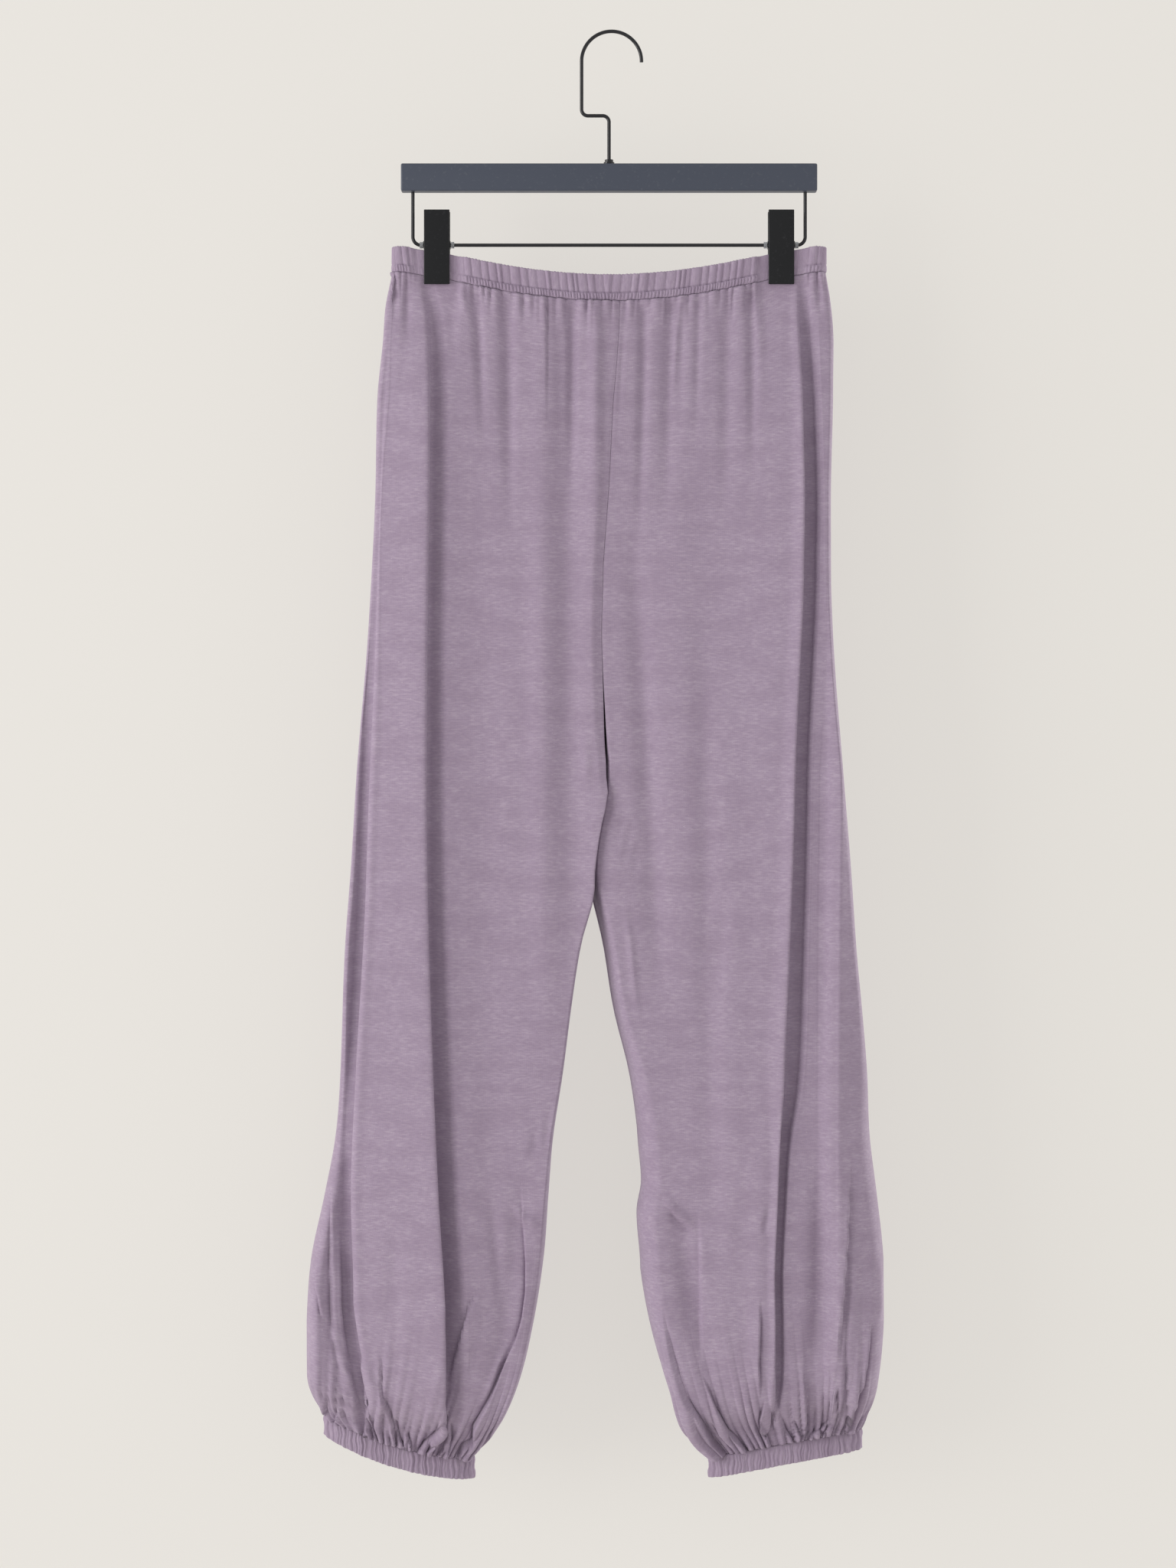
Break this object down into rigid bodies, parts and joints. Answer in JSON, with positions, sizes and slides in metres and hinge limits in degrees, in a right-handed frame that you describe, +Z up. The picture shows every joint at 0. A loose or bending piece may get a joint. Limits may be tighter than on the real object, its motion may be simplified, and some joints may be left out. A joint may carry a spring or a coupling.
{
  "type": "sweatpants on a clip hanger",
  "caption": "Loose jersey sweatpants with an elastic waistband and gathered cuffs, hung flat by the waistband from the clips of a straight black hanger.",
  "frame": {"origin": "inside of the hanger hook's crown, where it hangs on a rail or nail", "axes": "+Z up, +Y towards the wall behind the garment, the front faces -Y, +X to the viewer's right"},
  "size_m": [0.458, 0.0848, 1.1489],
  "materials": {
    "jersey": "matte heathered lilac cotton jersey",
    "bar": "satin charcoal black",
    "wire": "glossy black lacquered steel wire",
    "clip": "satin black",
    "collar": "clear grey"
  },
  "bodies": {
    "root": {"waistband": "jersey", "front_left": "jersey", "front_right": "jersey", "back_left": "jersey", "back_right": "jersey", "cuff_left": "jersey", "cuff_right": "jersey", "hook": "wire", "ferrule": "wire", "hanger_bar": "bar", "clip_rail": "wire", "clip_left_front": "clip", "clip_left_back": "clip", "clip_left_pivot": "clip", "clip_right_front": "clip", "clip_right_back": "clip", "clip_right_pivot": "clip", "collar_left_a": "collar", "collar_left_b": "collar", "collar_right_a": "collar", "collar_right_b": "collar"}
  },
  "joints": []
}
